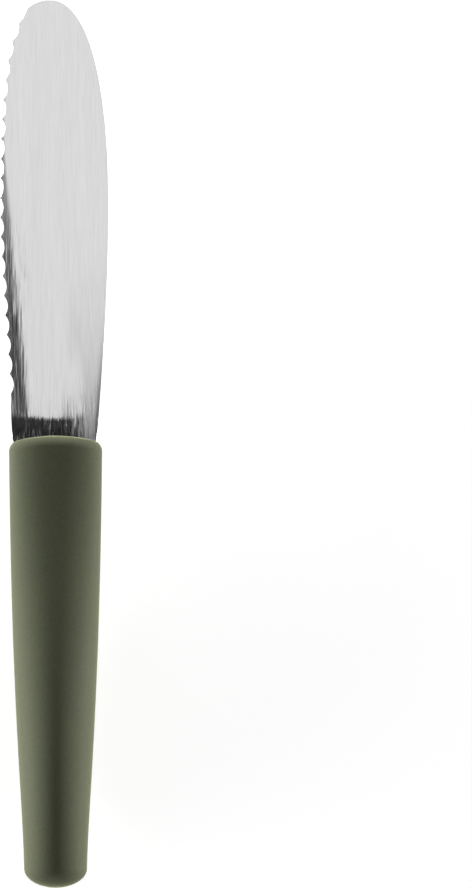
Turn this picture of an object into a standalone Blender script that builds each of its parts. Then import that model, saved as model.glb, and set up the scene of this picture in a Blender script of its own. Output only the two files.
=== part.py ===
"""Butter knife: a ground steel blade on a flat tang, two ribbed core halves and a soft skin over them.

The knife lies flat. Distances along it are counted from the crown, the end of the handle that the blade
comes out of: x is positive towards the tip, and a station is a distance from the crown towards the butt.
The serrated edge is on the +y side, the spine on the -y side, and z is the thickness.
"""
import math

import bmesh
import bpy
from mathutils import Vector
from mathutils.geometry import interpolate_bezier

# Fit between neighbouring pieces
CLEARANCE = 0.0003

# Blade outline
EXPOSED_LENGTH = 0.1121
TIP_OFFSET = 0.0014
BULGE_STATION = 0.0599
EDGE_HALF_WIDTH = 0.0147
SPINE_HALF_WIDTH = 0.0136
EDGE_AT_CROWN = 0.01127
SPINE_AT_CROWN = 0.01082
EDGE_TIP_ROUNDING = 0.0114
SPINE_TIP_ROUNDING = 0.0098
TIP_SWEEP = 0.031
HEEL_SWEEP = 0.020
EDGE_FLARE_ANGLE = 2.5
SPINE_FLARE_ANGLE = 4.2
OUTLINE_STEPS = 18

# Blade thickness and grinding
STOCK_THICKNESS = 0.0024
CHEEK_THICKNESS = 0.0014
GRIND_HEEL = 0.0052
GRIND_WHEEL_RADIUS = 0.030
GRIND_OVERRUN = 0.0003
GRIND_STEPS = 10
EDGE_THICKNESS = 0.0005
EDGE_GRIND_HEEL_WIDTH = 0.0056
EDGE_GRIND_REACH = 0.084

# Serration along the edge
TOOTH_PITCH = 0.00504
TOOTH_DEPTH = 0.0008
TIP_TOOTH_DEPTH = 0.0005
DEEPENING_TEETH = 4
TOOTH_INSET = 0.0002
FIRST_TOOTH = 0.0106
FIRST_TOOTH_LIFT = 0.0010
LAST_TOOTH = 0.0105
RUN_OUT_DEPTH = 0.0002
RUN_OUT_LIFT = 0.00035
SCALLOP_STEPS = 8

# Shoulders and tang
CROWN_WALL = 0.0029
SHOULDER_ROUNDING = 0.0030
TANG_WIDTH = 0.0120
TANG_SEAT = 0.0012
TANG_CORNER = 0.0012
TANG_PEGS = 3
TANG_END_MARGIN = 0.010

# Handle, outer form
HANDLE_LENGTH = 0.1164
NECK_WIDTH = 0.02406
BUTT_WIDTH = 0.01623
NECK_RUN = 0.0693
NECK_TAPER_ANGLE = 0.45
BUTT_RUN = 0.0200
BUTT_TAPER_ANGLE = 1.33
NECK_THICKNESS = 0.0106
BELLY_THICKNESS = 0.0175
BUTT_THICKNESS = 0.0124
BELLY_STATION = 0.074
NECK_SQUARENESS = 2.35
BELLY_SQUARENESS = 2.05
CROWN_RADIUS = 0.0415
CROWN_EDGE_LENGTH = 0.0023
CROWN_EDGE_DEPTH = 0.0022
BUTT_DOME = 0.0050

# Handle, walls
SLEEVE_WALL = 0.0020
CORE_WALL = 0.0020
BUTT_WALL = 0.0030
SHAVE_MARGIN = 0.00005

# Core pegs, sockets and pockets
PEG_FIRST = 0.028
PEG_SPACING = 0.020
PEG_DIAMETER = 0.0034
PEG_ENGAGEMENT = 0.0012
PEG_ROOT = 0.0004
WEB_LENGTH = 0.008

# Fineness of curves that are walked along, and of the lofted forms
PROFILE_STEPS = 200
OUTER_SIDES = 40
INNER_SIDES = 32
ROUND_SIDES = 24
BODY_RINGS = 18
POCKET_RINGS = 2
CAP_RINGS = 3
EDGE_RINGS = 5
DOME_RINGS = 5

# What follows from the sizes above
SHOULDER_DEPTH = CROWN_WALL + CLEARANCE
TANG_REACH = PEG_FIRST + (TANG_PEGS - 1) * PEG_SPACING + TANG_END_MARGIN
DOME_STATION = HANDLE_LENGTH - BUTT_DOME
CORE_INSET = SLEEVE_WALL + CLEARANCE
POCKET_INSET = CORE_INSET + CORE_WALL
CORE_START = SHOULDER_DEPTH + CLEARANCE + SHAVE_MARGIN
CORE_END = HANDLE_LENGTH - BUTT_WALL - CLEARANCE
BODY_START = NECK_WIDTH ** 2 / 4 / (2 * CROWN_RADIUS) + 2 * CROWN_EDGE_LENGTH
CIRCLE_HANDLE = 4 / 3 * (math.sqrt(2) - 1)
FAR = 0.2
WELD_DISTANCE = 0.000001
SHARP_ANGLE = math.radians(25)

for leftover in list(bpy.data.objects):
    bpy.data.objects.remove(leftover, do_unlink=True)

knife = bpy.data.collections.new("butter_knife")
cutters = bpy.data.collections.new("cutters")
bpy.context.scene.collection.children.link(knife)
bpy.context.scene.collection.children.link(cutters)


def add_object(name, mesh, collection):
    """Put a mesh in a collection; one in the cutters' collection is only a guide."""
    thing = bpy.data.objects.new(name, mesh)
    collection.objects.link(thing)
    if collection is cutters:
        thing.hide_render = True
        thing.display_type = "WIRE"
    return thing


def flat_form(name, add_outline, half_thickness, collection):
    """Extrude one closed 2D outline to both sides of its plane, as one closed mesh."""
    curve = bpy.data.curves.new(name, "CURVE")
    curve.dimensions = "2D"
    curve.fill_mode = "BOTH"
    curve.extrude = half_thickness
    curve.resolution_u = OUTLINE_STEPS
    add_outline(curve)
    drawn = bpy.data.objects.new(name + "_drawn", curve)
    bpy.context.scene.collection.objects.link(drawn)
    evaluated = drawn.evaluated_get(bpy.context.evaluated_depsgraph_get())
    mesh = bpy.data.meshes.new_from_object(evaluated)
    mesh.name = name
    bpy.data.objects.remove(drawn, do_unlink=True)
    weld = bmesh.new()
    weld.from_mesh(mesh)
    bmesh.ops.remove_doubles(weld, verts=weld.verts, dist=WELD_DISTANCE)
    bmesh.ops.recalc_face_normals(weld, faces=weld.faces)
    weld.to_mesh(mesh)
    weld.free()
    return add_object(name, mesh, collection)


def smooth_outline(knots):
    """A closed Bezier outline from (point, handle in, handle out); a handle of None makes a straight side."""
    def add(curve):
        spline = curve.splines.new("BEZIER")
        spline.bezier_points.add(len(knots) - 1)
        spline.use_cyclic_u = True
        for bezier, (point, handle_in, handle_out) in zip(spline.bezier_points, knots):
            bezier.co = (*point, 0)
            bezier.handle_left_type = "FREE" if handle_in else "VECTOR"
            bezier.handle_right_type = "FREE" if handle_out else "VECTOR"
            bezier.handle_left = (*(handle_in or point), 0)
            bezier.handle_right = (*(handle_out or point), 0)
    return add


def cornered_outline(points):
    """A closed outline of straight stretches."""
    def add(curve):
        spline = curve.splines.new("POLY")
        spline.points.add(len(points) - 1)
        spline.use_cyclic_u = True
        for target, point in zip(spline.points, points):
            target.co = (*point, 0, 1)
    return add


def cut(target, cutter, operation="DIFFERENCE"):
    """Add an exact Boolean."""
    boolean = target.modifiers.new(cutter.name, "BOOLEAN")
    boolean.operation = operation
    boolean.solver = "EXACT"
    boolean.object = cutter


def cylinder(name, radius, low, high, station):
    """An upright cylinder between two heights at a station on the handle's axis."""
    form = bmesh.new()
    bmesh.ops.create_cone(form, cap_ends=True, segments=ROUND_SIDES, radius1=radius, radius2=radius,
                          depth=high - low)
    mesh = bpy.data.meshes.new(name)
    form.to_mesh(mesh)
    form.free()
    made = add_object(name, mesh, cutters)
    made.location = (-station, 0, (low + high) / 2)
    return made


def block(name, low, high):
    """A box cutter between two corners of its own frame."""
    form = bmesh.new()
    bmesh.ops.create_cube(form, size=1)
    centre = (Vector(low) + Vector(high)) / 2
    bmesh.ops.scale(form, vec=Vector(high) - Vector(low), verts=form.verts)
    bmesh.ops.translate(form, vec=centre, verts=form.verts)
    mesh = bpy.data.meshes.new(name)
    form.to_mesh(mesh)
    form.free()
    return add_object(name, mesh, cutters)


# Blade


def long_side(side, grow):
    """Points and handles of one long side, from crown to tip: side +1 is the edge and -1 the spine."""
    if side > 0:
        at_crown, widest, rounding = EDGE_AT_CROWN, EDGE_HALF_WIDTH, EDGE_TIP_ROUNDING
        flare = math.radians(EDGE_FLARE_ANGLE)
    else:
        at_crown, widest, rounding = SPINE_AT_CROWN, SPINE_HALF_WIDTH, SPINE_TIP_ROUNDING
        flare = math.radians(SPINE_FLARE_ANGLE)
    crown = Vector((0, side * (at_crown + grow)))
    crown_handle = crown + Vector((HEEL_SWEEP, side * HEEL_SWEEP * math.tan(flare)))
    bulge = Vector((BULGE_STATION, side * (widest + grow)))
    heel_handle = bulge - Vector((HEEL_SWEEP, 0))
    tip_handle = bulge + Vector((TIP_SWEEP, 0))
    tip = Vector((EXPOSED_LENGTH + grow, TIP_OFFSET))
    rounding_handle = tip + Vector((0, side * (rounding + grow)))
    return crown, crown_handle, heel_handle, bulge, tip_handle, rounding_handle, tip


def shoulder_knots(side, crown, grow):
    """Knots from a long side's end at the crown, round the shoulder, to the straight side of the tang."""
    shoulder = -(SHOULDER_DEPTH + grow)
    turn = abs(crown.y) - SHOULDER_ROUNDING
    half_tang = TANG_WIDTH / 2 + grow
    corner = TANG_CORNER - grow
    bend = CIRCLE_HANDLE * corner
    return [
        ((shoulder, side * turn), (shoulder, side * (turn + CIRCLE_HANDLE * SHOULDER_ROUNDING)), None),
        ((shoulder, side * (half_tang + corner)), None, (shoulder, side * (half_tang + corner - bend))),
        ((shoulder - corner, side * half_tang), (shoulder - corner + bend, side * half_tang), None),
    ]


def blank_knots(grow):
    """The blank as (point, handle in, handle out): tip, down the edge, round the tang, up the spine."""
    crown_e, crown_handle_e, heel_handle_e, bulge_e, tip_handle_e, rounding_e, tip = long_side(1, grow)
    crown_s, crown_handle_s, heel_handle_s, bulge_s, tip_handle_s, rounding_s, tip = long_side(-1, grow)
    half_tang = TANG_WIDTH / 2 + grow
    tang_end = -(TANG_REACH + grow)
    round_start = tang_end + half_tang
    end_bend = CIRCLE_HANDLE * half_tang
    into_handle = -CIRCLE_HANDLE * (SHOULDER_DEPTH + grow)
    edge_shoulder = shoulder_knots(1, crown_e, grow)
    spine_shoulder = shoulder_knots(-1, crown_s, grow)
    return [
        (tip, rounding_s, rounding_e),
        (bulge_e, tip_handle_e, heel_handle_e),
        (crown_e, crown_handle_e, (into_handle, crown_e.y)),
        *edge_shoulder,
        ((round_start, half_tang), None, (round_start - end_bend, half_tang)),
        ((tang_end, 0), (tang_end, end_bend), (tang_end, -end_bend)),
        ((round_start, -half_tang), (round_start - end_bend, -half_tang), None),
        *((point, after, before) for point, before, after in reversed(spine_shoulder)),
        (crown_s, (into_handle, crown_s.y), crown_handle_s),
        (bulge_s, heel_handle_s, tip_handle_s),
    ]


def cheek_grind(name, grow, face):
    """What the wheel takes off the upper (+1) or lower (-1) cheek: flat, then its arc up to full stock."""
    flat = CHEEK_THICKNESS / 2 + grow
    rise = (STOCK_THICKNESS - CHEEK_THICKNESS) / 2 + GRIND_OVERRUN
    run = math.sqrt(2 * GRIND_WHEEL_RADIUS * rise)
    profile = [(FAR, flat), (FAR, FAR), (-FAR, FAR), (-FAR, flat + rise)]
    for step in range(GRIND_STEPS + 1):
        along = run * (1 - step / GRIND_STEPS)
        profile.append((GRIND_HEEL - along, flat + along ** 2 / (2 * GRIND_WHEEL_RADIUS)))
    form = flat_form(name, cornered_outline([(x, face * height) for x, height in profile]), FAR, cutters)
    form.rotation_euler = (math.pi / 2, 0, 0)
    return form


def edge_grind(name, grow, face):
    """The shallow flat ground along the serrated edge: widest at the heel, running out before the tip."""
    heel = Vector((0, EDGE_AT_CROWN - EDGE_GRIND_HEEL_WIDTH))
    run_out = Vector((EDGE_GRIND_REACH, EDGE_HALF_WIDTH - TOOTH_INSET))
    heading = math.atan2(run_out.y - heel.y, run_out.x)
    slope = math.atan((CHEEK_THICKNESS - EDGE_THICKNESS) / 2 / EDGE_GRIND_HEEL_WIDTH)
    low, high = sorted((0, face * FAR))
    form = block(name, (grow - SHOULDER_DEPTH, -FAR, low), (FAR, FAR, high))
    form.location = (heel.x, heel.y, face * (CHEEK_THICKNESS / 2 + grow))
    form.rotation_euler = (-face * slope, 0, heading)
    return form


def edge_line():
    """Points along the blank's serrated side, from tip to crown."""
    crown, crown_handle, heel_handle, bulge, tip_handle, rounding_handle, tip = long_side(1, 0)
    points = interpolate_bezier(tip, rounding_handle, tip_handle, bulge, PROFILE_STEPS)
    points += interpolate_bezier(bulge, heel_handle, crown_handle, crown, PROFILE_STEPS)[1:]
    return points


def walk(points, distance):
    """The point and the outward normal at a distance along a line of points."""
    for here, there in zip(points, points[1:]):
        step = (there - here).length
        if distance <= step:
            along = (there - here) / step
            return here + along * distance, Vector((along.y, -along.x))
        distance -= step
    raise ValueError("the distance lies past the end of the line")


def serration_comb(name):
    """One cutter for all the scallops: arcs between neighbouring teeth, closed well outside the blade.

    The scallops deepen over the first few. The first starts off the blade, where the tip curves away."""
    line = edge_line()
    length = sum((there - here).length for here, there in zip(line, line[1:]))
    scallops = int((length - FIRST_TOOTH - LAST_TOOTH) / TOOTH_PITCH + 0.5)
    stops = [FIRST_TOOTH + (number - 1) * TOOTH_PITCH for number in range(scallops + 3)]
    insets = [-FIRST_TOOTH_LIFT] + [TOOTH_INSET] * (scallops + 1) + [-RUN_OUT_LIFT]
    depths = []
    for number in range(scallops + 1):
        deepened = min(number / DEEPENING_TEETH, 1)
        depths.append(TIP_TOOTH_DEPTH + (TOOTH_DEPTH - TIP_TOOTH_DEPTH) * deepened)
    depths.append(RUN_OUT_DEPTH)
    teeth = []
    for stop, inset in zip(stops, insets):
        point, outward = walk(line, stop)
        teeth.append(point - outward * inset)
    comb = []
    for start, end, depth in zip(teeth, teeth[1:], depths):
        chord = end - start
        inward = Vector((-chord.y, chord.x)).normalized()
        radius = (chord.length ** 2 / 4 + depth ** 2) / (2 * depth)
        centre = (start + end) / 2 - inward * (radius - depth)
        half_angle = math.asin(chord.length / 2 / radius)
        for step in range(SCALLOP_STEPS):
            angle = half_angle * (2 * step / SCALLOP_STEPS - 1)
            across = chord.normalized() * math.sin(angle)
            comb.append(centre + (inward * math.cos(angle) + across) * radius)
    comb.append(teeth[-1])
    comb.append(Vector((teeth[-1].x, FAR)))
    comb.append(Vector((teeth[0].x, FAR)))
    return flat_form(name, cornered_outline(comb), STOCK_THICKNESS, cutters)


def ground_blank(name, grow, collection):
    """The blank with its two cheeks and its edge ground; grow is the clearance when it serves as a cutter."""
    blank = flat_form(name, smooth_outline(blank_knots(grow)), STOCK_THICKNESS / 2 + grow, collection)
    for face, word in ((1, "_upper"), (-1, "_lower")):
        cut(blank, cheek_grind(name + word + "_cheek_grind", grow, face))
        cut(blank, edge_grind(name + word + "_edge_grind", grow, face))
    return blank


# Handle


def half_width(station):
    """Half the handle's width: nearly parallel behind the neck, then drawn in towards the butt."""
    neck = Vector((0, NECK_WIDTH / 2))
    butt = Vector((DOME_STATION, BUTT_WIDTH / 2))
    neck_handle = neck + Vector((NECK_RUN, -NECK_RUN * math.tan(math.radians(NECK_TAPER_ANGLE))))
    butt_handle = butt + Vector((-BUTT_RUN, BUTT_RUN * math.tan(math.radians(BUTT_TAPER_ANGLE))))
    flank = interpolate_bezier(neck, neck_handle, butt_handle, butt, PROFILE_STEPS)
    for here, there in zip(flank, flank[1:]):
        if station <= there.x:
            return here.y + (there.y - here.y) * max(station - here.x, 0) / (there.x - here.x)
    return butt.y


def half_thickness(station):
    """Half the handle's thickness: thin at the neck, fullest at the belly, and less at the butt."""
    if station < BELLY_STATION:
        rise = (1 - math.cos(math.pi * station / BELLY_STATION)) / 2
        return (NECK_THICKNESS + (BELLY_THICKNESS - NECK_THICKNESS) * rise) / 2
    fall = ((min(station, DOME_STATION) - BELLY_STATION) / (DOME_STATION - BELLY_STATION)) ** 2
    return (BELLY_THICKNESS + (BUTT_THICKNESS - BELLY_THICKNESS) * fall) / 2


def squareness(station):
    """The superellipse's exponent: 2 is a plain oval."""
    share = min(station / BELLY_STATION, 1)
    return NECK_SQUARENESS + (BELLY_SQUARENESS - NECK_SQUARENESS) * share


def section(station, inset, sides, shrink=1):
    """(y, z) around the handle's section at a station, drawn in by an inset and then shrunk."""
    power = 2 / squareness(station)
    wide = (half_width(station) - inset) * shrink
    thick = (half_thickness(station) - inset) * shrink
    points = []
    for side in range(sides):
        angle = 2 * math.pi * side / sides
        cosine, sine = math.cos(angle), math.sin(angle)
        points.append((wide * math.copysign(abs(cosine) ** power, cosine),
                       thick * math.copysign(abs(sine) ** power, sine)))
    return points


def dome_rings(inset, end, sides):
    """Rings of the butt's dome, from just behind its start to just before its pole at the end station."""
    rings = []
    for number in range(1, DOME_RINGS):
        turn = math.pi / 2 * number / DOME_RINGS
        station = DOME_STATION + (end - DOME_STATION) * math.sin(turn)
        rings.append([(-station, y, z) for y, z in section(DOME_STATION, inset, sides, math.cos(turn))])
    return rings


def body_rings(start, end, inset, sides, count):
    """Flat rings at even stations."""
    rings = []
    for number in range(count + 1):
        station = start + (end - start) * number / count
        rings.append([(-station, y, z) for y, z in section(station, inset, sides)])
    return rings


def crown_rings(sides):
    """Rings of the crown: a shallow dome, then the rounded edge that turns into the handle's flanks."""
    def lie_on_dome(points, drop):
        return [(-drop - (y * y + z * z) / (2 * CROWN_RADIUS), y, z) for y, z in points]
    rings = []
    for number in range(1, CAP_RINGS):
        rings.append(lie_on_dome(section(0, CROWN_EDGE_DEPTH, sides, number / CAP_RINGS), 0))
    for number in range(EDGE_RINGS + 1):
        turn = math.pi / 2 * number / EDGE_RINGS
        drop = CROWN_EDGE_LENGTH * (1 - math.cos(turn))
        rings.append(lie_on_dome(section(drop, CROWN_EDGE_DEPTH * (1 - math.sin(turn)), sides), drop))
    return rings


def loft(name, rings, collection, front_pole=None, back_pole=None):
    """Skin a row of rings that run from the crown to the butt; an end without a pole is closed flat."""
    form = bmesh.new()
    rows = [[form.verts.new(point) for point in ring] for ring in rings]
    sides = len(rows[0])
    for row, following in zip(rows, rows[1:]):
        for side in range(sides):
            after = (side + 1) % sides
            form.faces.new((row[side], following[side], following[after], row[after]))
    for row, pole in ((rows[0], front_pole), (rows[-1], back_pole)):
        if pole is None:
            form.faces.new(row)
            continue
        top = form.verts.new(pole)
        for side in range(sides):
            form.faces.new((row[side], row[(side + 1) % sides], top))
    bmesh.ops.recalc_face_normals(form, faces=form.faces)
    mesh = bpy.data.meshes.new(name)
    form.to_mesh(mesh)
    form.free()
    return add_object(name, mesh, collection)


def inner_form(name, inset, start, end, collection):
    """The handle's form drawn in by an inset: flat at the front, domed at the butt."""
    rings = body_rings(start, DOME_STATION, inset, INNER_SIDES, BODY_RINGS)
    rings += dome_rings(inset, end, INNER_SIDES)
    return loft(name, rings, collection, back_pole=(-end, 0, 0))


# Materials


def material(name, colour, metallic, roughness):
    """A plain finish on the shader's own sockets."""
    made = bpy.data.materials.new(name)
    made.use_nodes = True
    shader = made.node_tree.nodes["Principled BSDF"]
    shader.inputs["Base Color"].default_value = (*colour, 1)
    shader.inputs["Metallic"].default_value = metallic
    shader.inputs["Roughness"].default_value = roughness
    return made


# Pieces

blade = ground_blank("blade", 0, knife)
blade_room = ground_blank("blade_room", CLEARANCE, cutters)
cut(blade, serration_comb("serration_comb"))

grip_sleeve = loft(
    "grip_sleeve",
    crown_rings(OUTER_SIDES)
    + body_rings(BODY_START, DOME_STATION, 0, OUTER_SIDES, BODY_RINGS)
    + dome_rings(0, HANDLE_LENGTH, OUTER_SIDES),
    knife,
    front_pole=(0, 0, 0),
    back_pole=(-HANDLE_LENGTH, 0, 0),
)
cut(grip_sleeve, inner_form("cavity", SLEEVE_WALL, CROWN_WALL, HANDLE_LENGTH - BUTT_WALL, cutters))
cut(grip_sleeve, blade_room)

# The core starts just behind the blade's shoulders, far enough for the blade's room not to shave its face
core_halves = {}
for name, side in (("core_half_front", 1), ("core_half_back", -1)):
    half = inner_form(name, CORE_INSET, CORE_START, CORE_END, knife)
    low, high = sorted((side * CLEARANCE / 2, side * FAR))
    cut(half, block(name + "_side", (-FAR, -FAR, low), (FAR, FAR, high)), "INTERSECT")
    core_halves[side] = half

# Pegs stand in solid webs at even stations, with a cored-out pocket between each web and the next.
# The pockets are narrower than the tang, so that both its long sides have a seat all the way
peg_stations = []
while PEG_FIRST + len(peg_stations) * PEG_SPACING + WEB_LENGTH / 2 + CORE_WALL < CORE_END:
    peg_stations.append(PEG_FIRST + len(peg_stations) * PEG_SPACING)

half_pocket = TANG_WIDTH / 2 - TANG_SEAT
between_seats = block("between_seats", (-FAR, -half_pocket, -FAR), (FAR, half_pocket, FAR))
for number, station in enumerate(peg_stations):
    pocket_start = station + WEB_LENGTH / 2
    pocket_end = station + PEG_SPACING - WEB_LENGTH / 2
    if pocket_end + CORE_WALL < DOME_STATION:
        rings = body_rings(pocket_start, pocket_end, POCKET_INSET, INNER_SIDES, POCKET_RINGS)
        pocket = loft(f"pocket_{number}", rings, cutters)
        cut(pocket, between_seats, "INTERSECT")
        cut(core_halves[1], pocket)
        cut(core_halves[-1], pocket)

cut(core_halves[1], blade_room)
cut(core_halves[-1], blade_room)

peg_tip = STOCK_THICKNESS / 2 + CLEARANCE + PEG_ENGAGEMENT
peg_root = STOCK_THICKNESS / 2 + CLEARANCE + PEG_ROOT
for number, station in enumerate(peg_stations):
    peg = cylinder(f"peg_{number}", PEG_DIAMETER / 2, -peg_tip, peg_root, station)
    cut(core_halves[1], peg, "UNION")
    socket_radius = PEG_DIAMETER / 2 + CLEARANCE
    socket = cylinder(f"socket_{number}", socket_radius, -peg_tip - CLEARANCE, peg_root, station)
    cut(core_halves[-1], socket)
    if number < TANG_PEGS:
        cut(blade, cylinder(f"tang_hole_{number}", socket_radius, -STOCK_THICKNESS, STOCK_THICKNESS, station))

blade.data.materials.append(material("brushed_steel", (0.60, 0.60, 0.59), 1, 0.28))
core_material = material("core_nylon", (0.035, 0.036, 0.034), 0, 0.5)
for half in core_halves.values():
    half.data.materials.append(core_material)
grip_sleeve.data.materials.append(material("olive_soft_touch", (0.112, 0.118, 0.079), 0, 0.55))

pieces = list(knife.objects)
for piece in pieces:
    piece.data.shade_smooth()
    piece.data.set_sharp_from_angle(angle=SHARP_ANGLE)

# The origin is the bottom centre of the knife's own box: everything hangs from one empty, moved there
frame = bpy.data.objects.new("knife_frame", None)
knife.objects.link(frame)
for thing in [*pieces, *cutters.objects]:
    thing.parent = frame
bpy.context.view_layer.update()
drawn = bpy.context.evaluated_depsgraph_get()
corners = [Vector(corner) for piece in pieces for corner in piece.evaluated_get(drawn).bound_box]
low = Vector([min(corner[axis] for corner in corners) for axis in range(3)])
high = Vector([max(corner[axis] for corner in corners) for axis in range(3)])
frame.location = (-(low.x + high.x) / 2, -(low.y + high.y) / 2, -low.z)
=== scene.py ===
"""Butter knife, dressed: brushed blade, soft olive grip and moulded core, flat under studio light.

Distances along the knife are counted from the crown, the end of the grip that the blade comes out
of, and are positive towards the tip. A station is a distance from the crown towards the butt. The
serrated edge is on +Y. Lengths are in metres and angles in degrees.
"""
import math

import bmesh
import bpy
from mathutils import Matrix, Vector
from mathutils.geometry import interpolate_bezier


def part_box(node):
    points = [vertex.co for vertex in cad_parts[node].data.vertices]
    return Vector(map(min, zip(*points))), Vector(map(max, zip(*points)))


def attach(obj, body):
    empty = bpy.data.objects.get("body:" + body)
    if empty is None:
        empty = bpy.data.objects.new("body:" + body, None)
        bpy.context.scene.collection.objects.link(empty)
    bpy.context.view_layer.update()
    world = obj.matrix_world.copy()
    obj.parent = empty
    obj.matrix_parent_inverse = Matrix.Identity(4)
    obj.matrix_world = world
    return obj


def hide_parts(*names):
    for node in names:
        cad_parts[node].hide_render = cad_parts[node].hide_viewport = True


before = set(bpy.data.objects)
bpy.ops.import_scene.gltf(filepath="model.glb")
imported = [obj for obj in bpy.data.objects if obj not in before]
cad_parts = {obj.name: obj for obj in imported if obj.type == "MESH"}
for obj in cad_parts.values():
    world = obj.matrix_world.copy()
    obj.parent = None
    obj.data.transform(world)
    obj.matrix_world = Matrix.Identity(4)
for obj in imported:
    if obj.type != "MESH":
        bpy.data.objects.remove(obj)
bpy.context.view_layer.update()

# Blade
# One piece of martensitic stainless steel, stamped, ground flat on both cheeks and brushed along
# its length. The serrated side is ground thinner, and the scallops are ground last. Its tang passes
# between the two core halves and is pinned by their pegs.
EXPOSED_LENGTH = 0.1121
TIP_OFFSET = 0.0014
BULGE_FROM_CROWN = 0.0599
EDGE_HALF_WIDTH = 0.0147
SPINE_HALF_WIDTH = 0.0136
EDGE_AT_CROWN = 0.01127
SPINE_AT_CROWN = 0.01082
EDGE_TIP_ROUNDING = 0.0114
SPINE_TIP_ROUNDING = 0.0098
EDGE_TIP_SWEEP = 0.0345
SPINE_TIP_SWEEP = 0.031
HEEL_SWEEP = 0.020
EDGE_FLARE_ANGLE = 2.5
SPINE_FLARE_ANGLE = 4.2
SHOULDER_DEPTH = 0.0032
SHOULDER_ROUNDING = 0.0030
SHOULDER_LEAN = 0.00004
TANG_WIDTH = 0.0120
TANG_CORNER = 0.0012
TANG_REACH = 0.078
PEG_STATIONS = (0.028, 0.048, 0.068)
PEG_HOLE_RADIUS = 0.0020
# It stays this far inside the CAD model's box
BOX_MARGIN = 0.00001

STOCK_THICKNESS = 0.0024
CHEEK_THICKNESS = 0.0014
EDGE_ROUND = 0.00010
SPINE_ROUND = 0.00014
# A wheel leaves a short curved run-out from the thin cheek to the thick stock in front of the grip.
# It is steep over most of the width, steeper again beside the crown, and long and shallow beside
# the spine.
RUN_OUT_START = 0.0060
RUN_OUT_BOW = 0.0011
RUN_OUT_TURN = 0.0028
RUN_OUT_ANGLE = 4.0
RUN_OUT_END_REACH = 0.0028
RUN_OUT_END_TURN = 0.0044
RUN_OUT_END_ANGLE = 2.8
RUN_OUT_SPINE_FROM = -0.0010
RUN_OUT_SPINE_TO = -0.0078
SPINE_RUN_OUT_START = 0.0310
SPINE_RUN_OUT_ANGLE = 2.40
# The spine side falls away a little beside the heel, and its rim is rolled over
SPINE_FALL_FROM = -0.0018
SPINE_FALL_TURN = 0.0016
SPINE_FALL_ANGLE = 2.3
SPINE_FALL_REACH_FROM = 0.0105
SPINE_FALL_REACH_TO = 0.061
SPINE_ROLL_WIDTH = 0.0011
SPINE_ROLL_DROP = 0.000055
SPINE_ROLL_REACH = 0.034
# The serrated side's ground band is widest and steepest at the heel and thins out to the tip
BAND_WIDTH = 0.0036
BAND_HEEL_EXTRA = 0.0014
BAND_HEEL_REACH = 0.036
BAND_TIP_NARROWING = 0.0025
BAND_NARROWS_FROM = 0.047
BAND_NARROWS_TO = 0.082
BAND_TURN_SHARE = 0.80
BAND_ANGLE = 6.0
BAND_EASING = 1.6
BAND_EASES_FROM = 0.026
BAND_EASES_TO = 0.054
BAND_FADES_FROM = 0.072
BAND_FADES_TO = 0.112

# The scallops are shallower near the tip, and their wheel runs out softly past the last tooth at
# either end. Blunting is the share of a scallop that each of its two points loses.
TOOTH_PITCH = 0.00505
TOOTH_DEPTH = 0.0009
TIP_TOOTH_DEPTH = 0.00065
DEEPENING_TEETH = 4
TOOTH_INSET = 0.0003
TOOTH_BLUNTING = 0.035
FIRST_TOOTH = 0.01105
FIRST_TOOTH_LIFT = 0.0010
LAST_TOOTH = 0.0100
SERRATION_RUN_OUT_DEPTH = 0.0002
SERRATION_RUN_OUT_LIFT = 0.00035

# How finely the mesh is drawn
OUTLINE_STEPS = 400
SCALLOP_STEPS = 10
ROW_SPACING = 0.0006
HEEL_ROW_SPACING = 0.0003
CLOSEST_ROWS = 0.00004
STOP_DIGITS = 7
TIP_GAP = 0.00002
TIP_TURN_REACH = 0.008
TIP_TURN_STEPS = 24
SHOULDER_STEPS = 8
TANG_END_STEPS = 12
EDGE_COLUMNS = 30
CHEEK_COLUMNS = 26
FINE_WIDTH = 0.0080
MOST_FINE_SHARE = 0.4
RIM_STEPS = 6
PEG_HOLE_SIDES = 32
SHARP_ANGLE = 14

# The crown and the knife's long axis follow from the grip's butt and the blade's spine
HANDLE_LENGTH = 0.1164
sleeve_low, sleeve_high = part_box("grip_sleeve")
blade_low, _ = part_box("blade")
crown = Vector((
    sleeve_low.x + HANDLE_LENGTH,
    blade_low.y + SPINE_HALF_WIDTH,
    (sleeve_low.z + sleeve_high.z) / 2,
))


def side_outline(side):
    """Points of a long side from the tip to the crown: +1 is the serrated edge, -1 the spine."""
    if side > 0:
        at_crown, widest, flare = EDGE_AT_CROWN, EDGE_HALF_WIDTH, math.radians(EDGE_FLARE_ANGLE)
        rounding, sweep = EDGE_TIP_ROUNDING, EDGE_TIP_SWEEP
    else:
        at_crown, widest, flare = SPINE_AT_CROWN, SPINE_HALF_WIDTH, math.radians(SPINE_FLARE_ANGLE)
        rounding, sweep = SPINE_TIP_ROUNDING, SPINE_TIP_SWEEP
    tip = Vector((EXPOSED_LENGTH - BOX_MARGIN, TIP_OFFSET))
    bulge = Vector((BULGE_FROM_CROWN, side * (widest - BOX_MARGIN)))
    start = Vector((0, side * at_crown))
    tip_handle = tip + Vector((0, side * rounding))
    bulge_handle = bulge + Vector((sweep, 0))
    heel_handle = start + Vector((HEEL_SWEEP, side * HEEL_SWEEP * math.tan(flare)))
    points = interpolate_bezier(tip, tip_handle, bulge_handle, bulge, OUTLINE_STEPS)
    bulge_handle = bulge - Vector((HEEL_SWEEP, 0))
    return points + interpolate_bezier(bulge, bulge_handle, heel_handle, start, OUTLINE_STEPS)[1:]


def walk(points, distance):
    """The point and the outward normal at a distance along the edge's line."""
    for here, there in zip(points, points[1:]):
        step = (there - here).length
        if distance <= step:
            along = (there - here) / step
            return here + along * distance, Vector((along.y, -along.x))
        distance -= step
    raise ValueError("the distance lies past the end of the line")


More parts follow.
